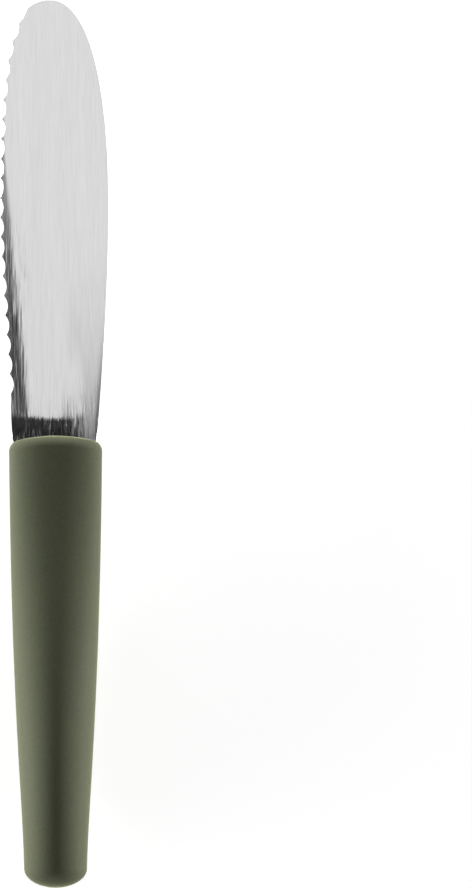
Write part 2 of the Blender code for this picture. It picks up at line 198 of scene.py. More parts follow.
def scallop_line(line):
    """Points of the scallops from the tip to the heel: arcs that leave each tooth a blunt point."""
    length = sum((there - here).length for here, there in zip(line, line[1:]))
    scallops = int((length - FIRST_TOOTH - LAST_TOOTH) / TOOTH_PITCH + 0.5)
    insets = [-FIRST_TOOTH_LIFT] + [TOOTH_INSET] * (scallops + 1) + [-SERRATION_RUN_OUT_LIFT]
    teeth = []
    for number, inset in enumerate(insets):
        point, outward = walk(line, FIRST_TOOTH + (number - 1) * TOOTH_PITCH)
        teeth.append(point - outward * inset)
    points = []
    for number, (start, end) in enumerate(zip(teeth, teeth[1:])):
        deepened = min(number / DEEPENING_TEETH, 1)
        depth = TIP_TOOTH_DEPTH + (TOOTH_DEPTH - TIP_TOOTH_DEPTH) * deepened
        if number > scallops:
            depth = SERRATION_RUN_OUT_DEPTH
        chord = end - start
        along = chord.normalized()
        inward = Vector((-chord.y, chord.x)).normalized()
        radius = (chord.length ** 2 / 4 + depth ** 2) / (2 * depth)
        centre = (start + end) / 2 - inward * (radius - depth)
        half_angle = math.asin(chord.length / 2 / radius)
        for step in range(SCALLOP_STEPS + 1):
            swept = min(max(step / SCALLOP_STEPS, TOOTH_BLUNTING), 1 - TOOTH_BLUNTING)
            angle = half_angle * (2 * swept - 1)
            points.append(centre + (inward * math.cos(angle) + along * math.sin(angle)) * radius)
    return points + [teeth[-1]]


def read_line(line, along):
    """The y of a line that runs from the tip to the heel, at a distance from the crown."""
    for here, there in zip(line, line[1:]):
        if here.x >= along >= there.x and here.x > there.x:
            return here.y + (there.y - here.y) * (here.x - along) / (here.x - there.x)
    return None


def exposed_stops(tip, scallops):
    """Distances from the crown at which the exposed blade gets a row, from the tip to the crown."""
    stops = {round(point.x, STOP_DIGITS) for point in scallops if point.x < tip - TIP_GAP}
    for step in range(1, TIP_TURN_STEPS):
        turned = 1 - math.cos(math.pi / 2 * step / TIP_TURN_STEPS)
        stops.add(round(tip - TIP_GAP - TIP_TURN_REACH * turned, STOP_DIGITS))
    along = tip
    while along > 0:
        along -= ROW_SPACING if along > RUN_OUT_START + ROW_SPACING else HEEL_ROW_SPACING
        stops.add(round(max(along, 0), STOP_DIGITS))
    kept = []
    for along in sorted(stops, reverse=True):
        if not kept or kept[-1] - along >= CLOSEST_ROWS:
            kept.append(along)
    return kept


def blade_rows():
    """(x, y of the edge, y of the spine, y of the line through the teeth), from tip to tang."""
    edge, spine = side_outline(1), side_outline(-1)
    scallops = scallop_line(edge)
    rows = []
    for along in exposed_stops(edge[0].x, scallops):
        tooth_line = read_line(edge, along)
        cut = read_line(scallops, along)
        edge_y = tooth_line if cut is None else min(tooth_line, cut)
        rows.append((along, edge_y, read_line(spine, along), tooth_line))
    for step in range(1, SHOULDER_STEPS + 1):
        turn = math.pi / 2 * step / SHOULDER_STEPS
        narrowed = SHOULDER_ROUNDING * (1 - math.cos(turn))
        rows.append((-SHOULDER_DEPTH * math.sin(turn), EDGE_AT_CROWN - narrowed,
                     narrowed - SPINE_AT_CROWN, EDGE_AT_CROWN))
    half_tang = TANG_WIDTH / 2
    for step in range(SHOULDER_STEPS + 1):
        turn = math.pi / 2 * step / SHOULDER_STEPS
        wide = half_tang + TANG_CORNER * (1 - math.sin(turn))
        along = -SHOULDER_DEPTH - SHOULDER_LEAN - TANG_CORNER * (1 - math.cos(turn))
        rows.append((along, wide, -wide, wide))
    for step in range(TANG_END_STEPS):
        turn = math.pi / 2 * step / TANG_END_STEPS
        wide = half_tang * math.cos(turn)
        rows.append((half_tang - TANG_REACH - half_tang * math.sin(turn), wide, -wide, wide))
    return rows


def ease(share):
    """A soft step from 0 to 1."""
    share = min(max(share, 0), 1)
    return share * share * (3 - 2 * share)


def slope_away(distance, turn, angle):
    """How far a face has moved since it began to slope: it turns to its angle, then runs on."""
    share = max(distance, 0) / turn
    turned = share ** 3 - share ** 4 / 2 if share < 1 else share - 0.5
    return math.tan(math.radians(angle)) * turn * turned


def cheek_height(x, y):
    """Half the thickness of the flat cheek and of the run-out that rises from it to the stock."""
    bow = RUN_OUT_BOW * min((y / EDGE_AT_CROWN) ** 2, 1)
    in_run_out = RUN_OUT_START + bow - x
    steep = slope_away(in_run_out, RUN_OUT_TURN, RUN_OUT_ANGLE)
    steep += slope_away(in_run_out - RUN_OUT_END_REACH, RUN_OUT_END_TURN, RUN_OUT_END_ANGLE)
    along_spine = max(SPINE_RUN_OUT_START - x, 0)
    spine_slope = math.tan(math.radians(SPINE_RUN_OUT_ANGLE))
    shallow = spine_slope * along_spine ** 2 / (2 * SPINE_RUN_OUT_START)
    beside_spine = ease((RUN_OUT_SPINE_FROM - y) / (RUN_OUT_SPINE_FROM - RUN_OUT_SPINE_TO))
    return CHEEK_THICKNESS / 2 + steep + (shallow - steep) * beside_spine


def band_drop(x, inside_teeth):
    """How much the ground band takes off a cheek, at a distance inside the line of the teeth."""
    wide = BAND_WIDTH + BAND_HEEL_EXTRA * max(1 - max(x, 0) / BAND_HEEL_REACH, 0)
    narrowed = ease((x - BAND_NARROWS_FROM) / (BAND_NARROWS_TO - BAND_NARROWS_FROM))
    wide -= BAND_TIP_NARROWING * narrowed
    eased = ease((x - BAND_EASES_FROM) / (BAND_EASES_TO - BAND_EASES_FROM))
    faded = ease((x - BAND_FADES_FROM) / (BAND_FADES_TO - BAND_FADES_FROM))
    angle = (BAND_ANGLE - BAND_EASING * eased) * (1 - faded)
    turn = BAND_TURN_SHARE * wide
    return slope_away(wide + turn / 2 - inside_teeth, turn, angle)


def half_thickness_at(x, y, spine_y, tooth_line):
    """Half the blade's thickness anywhere in plan, with its band and its spine side."""
    if x < -SHOULDER_DEPTH:
        return STOCK_THICKNESS / 2
    fall_reach = SPINE_FALL_REACH_TO - SPINE_FALL_REACH_FROM
    fall_angle = SPINE_FALL_ANGLE * (1 - ease((x - SPINE_FALL_REACH_FROM) / fall_reach))
    height = cheek_height(x, y) - band_drop(x, tooth_line - y)
    height -= slope_away(SPINE_FALL_FROM - y, SPINE_FALL_TURN, fall_angle)
    near_spine = max(1 - (y - spine_y) / SPINE_ROLL_WIDTH, 0)
    return height - SPINE_ROLL_DROP * near_spine ** 2 * (1 - ease(x / SPINE_ROLL_REACH))


def blade_section(x, edge_y, spine_y, tooth_line, grow):
    """(y, z) round the blade: over the upper cheek, round the spine, and back underneath."""
    width = edge_y - spine_y
    full = min(1, width / (4 * SPINE_ROUND))
    edge_round, spine_round = EDGE_ROUND * full, SPINE_ROUND * full
    inner_edge, inner_spine = edge_y - edge_round, spine_y + spine_round
    fine = min(FINE_WIDTH / width, MOST_FINE_SHARE)
    columns = [fine * step / EDGE_COLUMNS for step in range(EDGE_COLUMNS)]
    columns += [fine + (1 - fine) * step / CHEEK_COLUMNS for step in range(CHEEK_COLUMNS + 1)]
    across = [inner_edge + (inner_spine - inner_edge) * column for column in columns]
    upper = [(y, half_thickness_at(x, y, spine_y, tooth_line) + grow) for y in across]
    spine_height, edge_height = upper[-1][1], upper[0][1]
    turns = [math.pi * step / (2 * RIM_STEPS) for step in range(1, 2 * RIM_STEPS)]
    spine_rim = [(inner_spine - (spine_round + grow) * math.sin(turn),
                  spine_height * math.cos(turn)) for turn in turns]
    edge_rim = [(inner_edge + (edge_round + grow) * math.sin(turn),
                 -edge_height * math.cos(turn)) for turn in turns]
    lower = [(y, -z) for y, z in reversed(upper)]
    return upper + spine_rim + lower + edge_rim


def skin(name, rings, front_pole, back_pole):
    """A closed mesh over a row of rings, with a pole at either end, placed from the crown."""
    form = bmesh.new()
    rows = [[form.verts.new(crown + Vector(point)) for point in ring] for ring in rings]
    sides = len(rows[0])
    for row, following in zip(rows, rows[1:]):
        for side in range(sides):
            after = (side + 1) % sides
            form.faces.new((row[side], following[side], following[after], row[after]))
    for row, pole in ((rows[0], front_pole), (rows[-1], back_pole)):
        top = form.verts.new(crown + Vector(pole))
        for side in range(sides):
            form.faces.new((row[side], row[(side + 1) % sides], top))
    bmesh.ops.recalc_face_normals(form, faces=form.faces)
    mesh = bpy.data.meshes.new(name)
    form.to_mesh(mesh)
    form.free()
    made = bpy.data.objects.new(name, mesh)
    bpy.context.scene.collection.objects.link(made)
    return made


def blade_form(name, grow):
    """The whole blade with its tang; grow makes the room that the grip leaves round it."""
    rings = []
    for x, edge_y, spine_y, tooth_line in blade_rows():
        section = blade_section(x, edge_y, spine_y, tooth_line, grow)
        rings.append([(x, y, z) for y, z in section])
    tip = (EXPOSED_LENGTH - BOX_MARGIN, TIP_OFFSET, 0)
    return skin(name, rings, tip, (-TANG_REACH - grow, 0, 0))


def bake_cuts(thing, cutters):
    """Cut exact Booleans into a mesh for good, remove the cutters and shade the mesh smooth."""
    for cutter in cutters:
        boolean = thing.modifiers.new(cutter.name, "BOOLEAN")
        boolean.operation = "DIFFERENCE"
        boolean.solver = "EXACT"
        boolean.object = cutter
    evaluated = thing.evaluated_get(bpy.context.evaluated_depsgraph_get())
    finished = bpy.data.meshes.new_from_object(evaluated)
    thing.modifiers.clear()
    thing.data = finished
    for cutter in cutters:
        bpy.data.objects.remove(cutter, do_unlink=True)
    for face in finished.polygons:
        face.use_smooth = True
    finished.set_sharp_from_angle(angle=math.radians(SHARP_ANGLE))


def peg_hole(number, station):
    """A cutter for one of the tang's holes."""
    form = bmesh.new()
    bmesh.ops.create_cone(form, cap_ends=True, segments=PEG_HOLE_SIDES, radius1=PEG_HOLE_RADIUS,
                          radius2=PEG_HOLE_RADIUS, depth=2 * STOCK_THICKNESS)
    mesh = bpy.data.meshes.new(f"peg_hole_{number}")
    form.to_mesh(mesh)
    form.free()
    made = bpy.data.objects.new(mesh.name, mesh)
    made.location = crown + Vector((-station, 0, 0))
    bpy.context.scene.collection.objects.link(made)
    return made


def linear(colour):
    """An sRGB hex colour as the linear values that a shader takes."""
    parts = [int(colour[place:place + 2], 16) / 255 for place in (1, 3, 5)]
    bent = [part / 12.92 if part <= 0.04045 else ((part + 0.055) / 1.055) ** 2.4 for part in parts]
    return (*bent, 1)


def add_node(tree, kind, inputs=None, **settings):
    """Add a node: settings are its own properties, inputs are values or other nodes' outputs."""
    made = tree.nodes.new(kind)
    for name, value in settings.items():
        setattr(made, name, value)
    for socket, value in (inputs or {}).items():
        if isinstance(value, bpy.types.NodeSocket):
            tree.links.new(value, made.inputs[socket])
        else:
            made.inputs[socket].default_value = value
    return made


# Belt marks run along the blade: their length, their width and the detail inside them. Real ones
# are 0.05 to 0.2 mm wide. The narrowest are drawn 0.22 and 0.3 mm wide, because finer ones don't
# show, and the broader ones are the soft streaks that many fine marks add up to.
FINE_MARKS = (0.007, 0.00022, 2)
HAIR_MARKS = (0.012, 0.0003, 2)
PULLED_MARKS = (0.009, 0.0003, 1)
BROAD_MARKS = (0.018, 0.0009, 3)
WIDE_MARKS = (0.060, 0.0035, 2)
# Zones of the grinding in the frame's X and Y: the axis, where a zone starts and where it is full
GROUND_ZONES = {
    "in_front_of_grip": ("X", 0.0145, 0.0075),
    "against_crown": ("X", 0.0058, 0.0034),
    "clear_of_spine": ("Y", -0.0090, -0.0045),
    "beside_teeth": ("Y", 0.0055, 0.0085),
    "towards_heel": ("X", 0.064, 0.040),
}
# How far marks lean along and across the blade at most, and the share of that on the bare cheek
FINE_LEAN = (0.12, 0.24, 0)
BROAD_LEAN = (0.045, 0.03, 0)
PULLED_LEAN = 0.07
LEAN_LEFT_ON_CHEEK = 0.12
STEEL_DARK = "#C8C8C8"
STEEL_PALE = "#D2D2D2"
ROUGHNESS_AT_CROWN = 0.157
ROUGHNESS_AT_TIP = 0.138
ROUGHNESS_VARIES_BY = 0.007
COARSE_ROUGHNESS = 0.13
TIP_X = 0.11
ALONG_THE_BLADE = (1, 0, 0)
# Where a pattern starts to count and where it counts in full. Scratches and coarse marks are drawn
# from its peaks alone.
TONE_RANGE = (0.35, 1.15)
GLOSS_RANGE = (0.3, 0.7)
SCRATCH_PEAKS = (0.54, 0.68)
COARSE_PEAKS = (0.48, 0.66)
WIDE_SHARE_OF_TONE = 0.5


def belt_marks(tree, place, marks):
    """A pattern of marks that are drawn out along the blade."""
    length, width, detail = marks
    drawn_out = add_node(tree, "ShaderNodeMapping", {
        "Vector": place, "Scale": (1 / length, 1 / width, 1 / width)})
    return add_node(tree, "ShaderNodeTexNoise", {
        "Vector": drawn_out.outputs["Vector"], "Scale": 1, "Detail": detail})


def leaning_normal(tree, place, fine, broad, in_run_out, in_band):
    """The surface's normal with each mark's own lean, stronger where the wheels have worked."""
    worked = add_node(tree, "ShaderNodeMath", {0: in_run_out, 1: in_band}, operation="MAXIMUM")
    strength = add_node(tree, "ShaderNodeMapRange", {
        "Value": worked.outputs[0], "To Min": LEAN_LEFT_ON_CHEEK, "To Max": 1})
    leaning = add_node(tree, "ShaderNodeNewGeometry").outputs["Normal"]
    for marks, most in ((fine, FINE_LEAN), (broad, BROAD_LEAN)):
        centred = add_node(tree, "ShaderNodeVectorMath", {
            0: marks.outputs["Color"], 1: (0.5, 0.5, 0.5)}, operation="SUBTRACT")
        lean = add_node(tree, "ShaderNodeVectorMath", {
            0: centred.outputs["Vector"], 1: most}, operation="MULTIPLY")
        scaled = add_node(tree, "ShaderNodeVectorMath", {
            0: lean.outputs["Vector"], "Scale": strength.outputs["Result"]}, operation="SCALE")
        leaning = add_node(tree, "ShaderNodeVectorMath", {
            0: leaning, 1: scaled.outputs["Vector"]}, operation="ADD").outputs["Vector"]
    # Where the ground band meets the cheek, the wheel has pulled long single scratches
    pulled = belt_marks(tree, place, PULLED_MARKS)
    single = add_node(tree, "ShaderNodeMapRange", {
        "Value": pulled.outputs["Fac"], "From Min": SCRATCH_PEAKS[0], "From Max": SCRATCH_PEAKS[1],
        "To Min": 0, "To Max": PULLED_LEAN})
    lean_out = add_node(tree, "ShaderNodeMath", {
        0: in_band, 1: single.outputs["Result"]}, operation="MULTIPLY")
    outward = add_node(tree, "ShaderNodeCombineXYZ", {"Y": lean_out.outputs[0]})
    scratched = add_node(tree, "ShaderNodeVectorMath", {
        0: leaning, 1: outward.outputs["Vector"]}, operation="ADD")
    return add_node(tree, "ShaderNodeVectorMath", {
        0: scratched.outputs["Vector"]}, operation="NORMALIZE").outputs["Vector"]


def brushed_stainless():
    """Stainless steel finished with a fine belt: a long soft gleam, broken into streaks."""
    material = bpy.data.materials.new("brushed_stainless")
    material.use_nodes = True
    tree = material.node_tree
    tree.nodes.clear()
    place = add_node(tree, "ShaderNodeTexCoord").outputs["Object"]
    sides = add_node(tree, "ShaderNodeSeparateXYZ", {"Vector": place})
    zones = {}
    for zone, (axis, starts, full) in GROUND_ZONES.items():
        zones[zone] = add_node(tree, "ShaderNodeMapRange", {
            "Value": sides.outputs[axis], "From Min": starts, "From Max": full}).outputs["Result"]
    in_run_out = add_node(tree, "ShaderNodeMath", {
        0: zones["in_front_of_grip"], 1: zones["clear_of_spine"]}, operation="MULTIPLY").outputs[0]
    in_band = add_node(tree, "ShaderNodeMath", {
        0: zones["beside_teeth"], 1: zones["towards_heel"]}, operation="MULTIPLY").outputs[0]
    at_crown = add_node(tree, "ShaderNodeMath", {
        0: zones["against_crown"], 1: zones["clear_of_spine"]}, operation="MULTIPLY").outputs[0]
    fine = belt_marks(tree, place, FINE_MARKS)
    broad = belt_marks(tree, place, BROAD_MARKS)
    wide = belt_marks(tree, place, WIDE_MARKS)
    hair = belt_marks(tree, place, HAIR_MARKS)
    streaks = add_node(tree, "ShaderNodeMath", {
        0: wide.outputs["Fac"], 1: WIDE_SHARE_OF_TONE, 2: hair.outputs["Fac"]},
        operation="MULTIPLY_ADD")
    shade = add_node(tree, "ShaderNodeMapRange", {
        "Value": streaks.outputs[0], "From Min": TONE_RANGE[0], "From Max": TONE_RANGE[1]})
    tone = add_node(tree, "ShaderNodeMix", {
        "Factor": shade.outputs["Result"], "A": linear(STEEL_DARK), "B": linear(STEEL_PALE)},
        data_type="RGBA")
    # The belt bites a little deeper towards the grip, and each mark differs
    bite = add_node(tree, "ShaderNodeMapRange", {
        "Value": sides.outputs["X"], "From Min": 0, "From Max": TIP_X,
        "To Min": ROUGHNESS_AT_CROWN, "To Max": ROUGHNESS_AT_TIP})
    vary = add_node(tree, "ShaderNodeMapRange", {
        "Value": fine.outputs["Fac"], "From Min": GLOSS_RANGE[0], "From Max": GLOSS_RANGE[1],
        "To Min": -ROUGHNESS_VARIES_BY, "To Max": ROUGHNESS_VARIES_BY})
    belt_gloss = add_node(tree, "ShaderNodeMath", {
        0: bite.outputs["Result"], 1: vary.outputs["Result"]}, operation="ADD")
    # Against the crown the wheel's marks are coarser, so that some of them catch a little light
    coarse = add_node(tree, "ShaderNodeMapRange", {
        "Value": hair.outputs["Fac"], "From Min": COARSE_PEAKS[0], "From Max": COARSE_PEAKS[1],
        "To Min": 0, "To Max": COARSE_ROUGHNESS})
    gloss = add_node(tree, "ShaderNodeMath", {
        0: at_crown, 1: coarse.outputs["Result"], 2: belt_gloss.outputs[0]},
        operation="MULTIPLY_ADD")
    across = add_node(tree, "ShaderNodeVectorMath", {
        0: add_node(tree, "ShaderNodeNewGeometry").outputs["Normal"], 1: ALONG_THE_BLADE},
        operation="CROSS_PRODUCT")
    steel = add_node(tree, "ShaderNodeBsdfPrincipled", {
        "Base Color": tone.outputs["Result"], "Metallic": 1, "Roughness": gloss.outputs[0],
        "Anisotropic": 0.80, "Tangent": across.outputs["Vector"],
        "Normal": leaning_normal(tree, place, fine, broad, in_run_out, in_band)})
    add_node(tree, "ShaderNodeOutputMaterial", {"Surface": steel.outputs["BSDF"]})
    return material


blade = blade_form("ground_blade", 0)
bake_cuts(blade, [peg_hole(number, station) for number, station in enumerate(PEG_STATIONS)])
blade.data.materials.append(brushed_stainless())
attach(blade, "root")
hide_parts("blade")

# Core halves
# Two injection-moulded halves of glass-filled nylon that close on the tang, with pegs through its
# holes. They are the CAD solids as they stand, because the grip hides them all over.
FIBRE_BLOOM = 0.0009
MOULD_GRAIN = 0.0003
MOULD_GRAIN_DEPTH = 0.00003
NYLON_DARK = "#2F302E"
NYLON_PALE = "#3B3C39"
NYLON_SMOOTHEST = 0.45
NYLON_DULLEST = 0.6


def moulded_nylon():
    """Dark glass-filled nylon from a spark-eroded mould: matt, with a faint bloom of fibres."""
    material = bpy.data.materials.new("moulded_nylon")
    material.use_nodes = True
    tree = material.node_tree
    tree.nodes.clear()
    place = add_node(tree, "ShaderNodeTexCoord").outputs["Object"]
    fibres = add_node(tree, "ShaderNodeTexNoise", {
        "Vector": place, "Scale": 1 / FIBRE_BLOOM, "Detail": 4})
    bloom = add_node(tree, "ShaderNodeMix", {
        "Factor": fibres.outputs["Fac"], "A": linear(NYLON_DARK), "B": linear(NYLON_PALE)},
        data_type="RGBA")
    grain = add_node(tree, "ShaderNodeTexNoise", {
        "Vector": place, "Scale": 1 / MOULD_GRAIN, "Detail": 2})
    relief = add_node(tree, "ShaderNodeBump", {
        "Height": grain.outputs["Fac"], "Strength": 0.3, "Distance": MOULD_GRAIN_DEPTH})
    dull = add_node(tree, "ShaderNodeMapRange", {
        "Value": fibres.outputs["Fac"], "To Min": NYLON_SMOOTHEST, "To Max": NYLON_DULLEST})
    nylon = add_node(tree, "ShaderNodeBsdfPrincipled", {
        "Base Color": bloom.outputs["Result"], "Roughness": dull.outputs["Result"], "IOR": 1.53,
        "Normal": relief.outputs["Normal"]})
    add_node(tree, "ShaderNodeOutputMaterial", {"Surface": nylon.outputs["BSDF"]})
    return material


core_finish = moulded_nylon()
for name in ("core_half_front", "core_half_back"):
    core_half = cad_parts[name]
    core_half.data.materials.clear()
    core_half.data.materials.append(core_finish)

# Grip
# A skin of soft-touch elastomer, 2 mm thick, moulded over the closed core and tight round the
# blade. It swells from a flat oval neck to a round butt, and its crown is a shallow dome.
NECK_WIDTH = 0.02406
BUTT_WIDTH = 0.01623
NECK_RUN = 0.0693
NECK_TAPER_ANGLE = 0.45
BUTT_RUN = 0.0200
BUTT_TAPER_ANGLE = 1.33
NECK_THICKNESS = 0.0106
BELLY_THICKNESS = 0.0175
BUTT_THICKNESS = 0.0124
BELLY_STATION = 0.074
NECK_SQUARENESS = 2.35
BELLY_SQUARENESS = 2.05
CROWN_RADIUS = 0.0415
CROWN_EDGE_LENGTH = 0.0023
CROWN_EDGE_DEPTH = 0.0022
BUTT_DOME = 0.0050
CROWN_WALL = 0.0029
SKIN_WALL = 0.0020
BUTT_WALL = 0.0030
BLADE_ROOM = 0.00008
DOME_STATION = HANDLE_LENGTH - BUTT_DOME
BODY_START = NECK_WIDTH ** 2 / 4 / (2 * CROWN_RADIUS) + 2 * CROWN_EDGE_LENGTH

OUTER_SIDES = 128
INNER_SIDES = 64
BODY_RINGS = 72
CAP_RINGS = 14
EDGE_RINGS = 12
DOME_RINGS = 16


def half_width(station):
    """Half the grip's width: nearly parallel behind the neck, then drawn in to the butt."""
    neck = Vector((0, NECK_WIDTH / 2))
    butt = Vector((DOME_STATION, BUTT_WIDTH / 2))
    neck_taper = math.tan(math.radians(NECK_TAPER_ANGLE))
    butt_taper = math.tan(math.radians(BUTT_TAPER_ANGLE))
    neck_handle = neck + Vector((NECK_RUN, -NECK_RUN * neck_taper))
    butt_handle = butt + Vector((-BUTT_RUN, BUTT_RUN * butt_taper))
    flank = interpolate_bezier(neck, neck_handle, butt_handle, butt, OUTLINE_STEPS)
    for here, there in zip(flank, flank[1:]):
        if station <= there.x:
            passed = max(station - here.x, 0)
            return here.y + (there.y - here.y) * passed / (there.x - here.x)
    return butt.y


def half_height(station):
    """Half the grip's thickness: thin at the neck, fullest at the belly, less at the butt."""
    if station < BELLY_STATION:
        rise = (1 - math.cos(math.pi * station / BELLY_STATION)) / 2
        return (NECK_THICKNESS + (BELLY_THICKNESS - NECK_THICKNESS) * rise) / 2
    past_belly = min(station, DOME_STATION) - BELLY_STATION
    fall = (past_belly / (DOME_STATION - BELLY_STATION)) ** 2
    return (BELLY_THICKNESS + (BUTT_THICKNESS - BELLY_THICKNESS) * fall) / 2


def grip_section(station, inset, sides, shrink=1):
    """(y, z) round the grip's superellipse at a station, drawn in by an inset and then shrunk."""
    share = min(station / BELLY_STATION, 1)
    power = 2 / (NECK_SQUARENESS + (BELLY_SQUARENESS - NECK_SQUARENESS) * share)
    wide = (half_width(station) - inset) * shrink
    thick = (half_height(station) - inset - BOX_MARGIN) * shrink
    points = []
    for side in range(sides):
        angle = 2 * math.pi * side / sides
        cosine, sine = math.cos(angle), math.sin(angle)
        points.append((wide * math.copysign(abs(cosine) ** power, cosine),
                       thick * math.copysign(abs(sine) ** power, sine)))
    return points


def grip_body(start, inset, sides, end):
    """Rings along the grip and over the butt's dome, whose pole is at the end station."""
    rings = []
    for number in range(BODY_RINGS + 1):
        station = start + (DOME_STATION - start) * number / BODY_RINGS
        rings.append([(-station, y, z) for y, z in grip_section(station, inset, sides)])
    for number in range(1, DOME_RINGS):
        turn = math.pi / 2 * number / DOME_RINGS
        station = DOME_STATION + (end - DOME_STATION) * math.sin(turn)
        section = grip_section(DOME_STATION, inset, sides, math.cos(turn))
        rings.append([(-station, y, z) for y, z in section])
    return rings


def crown_rings():
    """Rings of the crown: a shallow dome, then the rounded edge that turns into the flanks."""
    rings = []
    for number in range(1, CAP_RINGS):
        section = grip_section(0, CROWN_EDGE_DEPTH, OUTER_SIDES, number / CAP_RINGS)
        rings.append([(-(y * y + z * z) / (2 * CROWN_RADIUS), y, z) for y, z in section])
    for number in range(EDGE_RINGS + 1):
        turn = math.pi / 2 * number / EDGE_RINGS
        drop = CROWN_EDGE_LENGTH * (1 - math.cos(turn))
        section = grip_section(drop, CROWN_EDGE_DEPTH * (1 - math.sin(turn)), OUTER_SIDES)
        rings.append([(-drop - (y * y + z * z) / (2 * CROWN_RADIUS), y, z) for y, z in section])
    return rings


# The mould's etch is about 0.05 mm and is drawn at 0.3 mm, because a finer one doesn't show. The
# powdery mottle is a little coarser, and handling leaves patches a centimetre or two across.
ETCH_GRAIN = 0.0003
ETCH_DEPTH = 0.00002
MOTTLE_GRAIN = 0.0006
HANDLED_PATCH = 0.014
OLIVE_DARK = "#535743"
OLIVE_PALE = "#5D614B"
POWDERY_SHEEN = "#B6BC8F"
ELASTOMER_SMOOTHEST = 0.70
ELASTOMER_DULLEST = 0.76
HANDLED_SHARE_OF_TONE = 0.4
OLIVE_RANGE = (0.4, 1.0)
HANDLED_RANGE = (0.3, 0.7)


def soft_touch_elastomer():
    """Olive soft-touch elastomer from an etched mould: matt, and paler where it turns away."""
    material = bpy.data.materials.new("soft_touch_elastomer")
    material.use_nodes = True
    tree = material.node_tree
    tree.nodes.clear()
    place = add_node(tree, "ShaderNodeTexCoord").outputs["Object"]
    etch = add_node(tree, "ShaderNodeTexNoise", {
        "Vector": place, "Scale": 1 / ETCH_GRAIN, "Detail": 2})
    relief = add_node(tree, "ShaderNodeBump", {
        "Height": etch.outputs["Fac"], "Strength": 0.25, "Distance": ETCH_DEPTH})
    # Handled patches are faintly darker and smoother
    handled = add_node(tree, "ShaderNodeTexNoise", {
        "Vector": place, "Scale": 1 / HANDLED_PATCH, "Detail": 3})
    mottle = add_node(tree, "ShaderNodeTexNoise", {
        "Vector": place, "Scale": 1 / MOTTLE_GRAIN, "Detail": 3})
    wear = add_node(tree, "ShaderNodeMath", {
        0: handled.outputs["Fac"], 1: HANDLED_SHARE_OF_TONE, 2: mottle.outputs["Fac"]},
        operation="MULTIPLY_ADD")
    paleness = add_node(tree, "ShaderNodeMapRange", {
        "Value": wear.outputs[0], "From Min": OLIVE_RANGE[0], "From Max": OLIVE_RANGE[1]})
    tone = add_node(tree, "ShaderNodeMix", {
        "Factor": paleness.outputs["Result"], "A": linear(OLIVE_DARK), "B": linear(OLIVE_PALE)},
        data_type="RGBA")
    dull = add_node(tree, "ShaderNodeMapRange", {
        "Value": handled.outputs["Fac"], "From Min": HANDLED_RANGE[0], "From Max": HANDLED_RANGE[1],
        "To Min": ELASTOMER_SMOOTHEST, "To Max": ELASTOMER_DULLEST})
    elastomer = add_node(tree, "ShaderNodeBsdfPrincipled", {
        "Base Color": tone.outputs["Result"], "Roughness": dull.outputs["Result"], "IOR": 1.45,
        "Specular IOR Level": 0.30, "Sheen Weight": 1.0, "Sheen Roughness": 0.35,
        "Sheen Tint": linear(POWDERY_SHEEN), "Normal": relief.outputs["Normal"]})
    add_node(tree, "ShaderNodeOutputMaterial", {"Surface": elastomer.outputs["BSDF"]})
    return material


grip_end = HANDLE_LENGTH - BOX_MARGIN
grip = skin("soft_grip", crown_rings() + grip_body(BODY_START, 0, OUTER_SIDES, grip_end),
            (0, 0, 0), (-grip_end, 0, 0))
cavity_end = HANDLE_LENGTH - BUTT_WALL
cavity = skin("cavity", grip_body(CROWN_WALL, SKIN_WALL, INNER_SIDES, cavity_end),
              (-CROWN_WALL, 0, 0), (-cavity_end, 0, 0))
bake_cuts(grip, [cavity, blade_form("blade_room", BLADE_ROOM)])
grip.data.materials.append(soft_touch_elastomer())
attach(grip, "root")
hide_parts("grip_sleeve")

# Floor
# A plain white table top, lit by the room like any surface. What the camera, metal and glass see of
# it is lifted to white, and the knife's soft shadow stays on it. From below it is looked through.
FLOOR_SIZE = 14.0
FLOOR_GLOW = 0.755
PAINT_WHITE = "#F4F4F4"


def seen_or_mirrored(tree):
    """1 for what the camera sees, straight or by way of metal and glass, and 0 for other rays."""
    ray = add_node(tree, "ShaderNodeLightPath")
    seen = add_node(tree, "ShaderNodeMath", {
        0: ray.outputs["Is Camera Ray"], 1: ray.outputs["Is Glossy Ray"]}, operation="MAXIMUM")
    return add_node(tree, "ShaderNodeMath", {
        0: seen.outputs[0], 1: ray.outputs["Is Transmission Ray"]},
        operation="MAXIMUM").outputs[0]


def white_table():
    """Painted white board: flat white to the camera, with the shadow that the light leaves."""
    material = bpy.data.materials.new("white_table")
    material.use_nodes = True
    tree = material.node_tree
    tree.nodes.clear()
    paint = add_node(tree, "ShaderNodeBsdfDiffuse", {"Color": linear(PAINT_WHITE)})
    lift = add_node(tree, "ShaderNodeMath", {
        0: seen_or_mirrored(tree), 1: FLOOR_GLOW}, operation="MULTIPLY")
    glow = add_node(tree, "ShaderNodeEmission", {"Strength": lift.outputs[0]})
    board = add_node(tree, "ShaderNodeAddShader", {0: paint.outputs[0], 1: glow.outputs[0]})
    clear = add_node(tree, "ShaderNodeBsdfTransparent")
    below = add_node(tree, "ShaderNodeNewGeometry").outputs["Backfacing"]
    either = add_node(tree, "ShaderNodeMixShader", {
        0: below, 1: board.outputs[0], 2: clear.outputs[0]})
    add_node(tree, "ShaderNodeOutputMaterial", {"Surface": either.outputs[0]})
    return material


floor_form = bmesh.new()
bmesh.ops.create_grid(floor_form, x_segments=1, y_segments=1, size=FLOOR_SIZE / 2)
floor_mesh = bpy.data.meshes.new("table_top")
floor_form.to_mesh(floor_mesh)
floor_form.free()
floor = bpy.data.objects.new("table_top", floor_mesh)
bpy.context.scene.collection.objects.link(floor)
floor.data.materials.append(white_table())

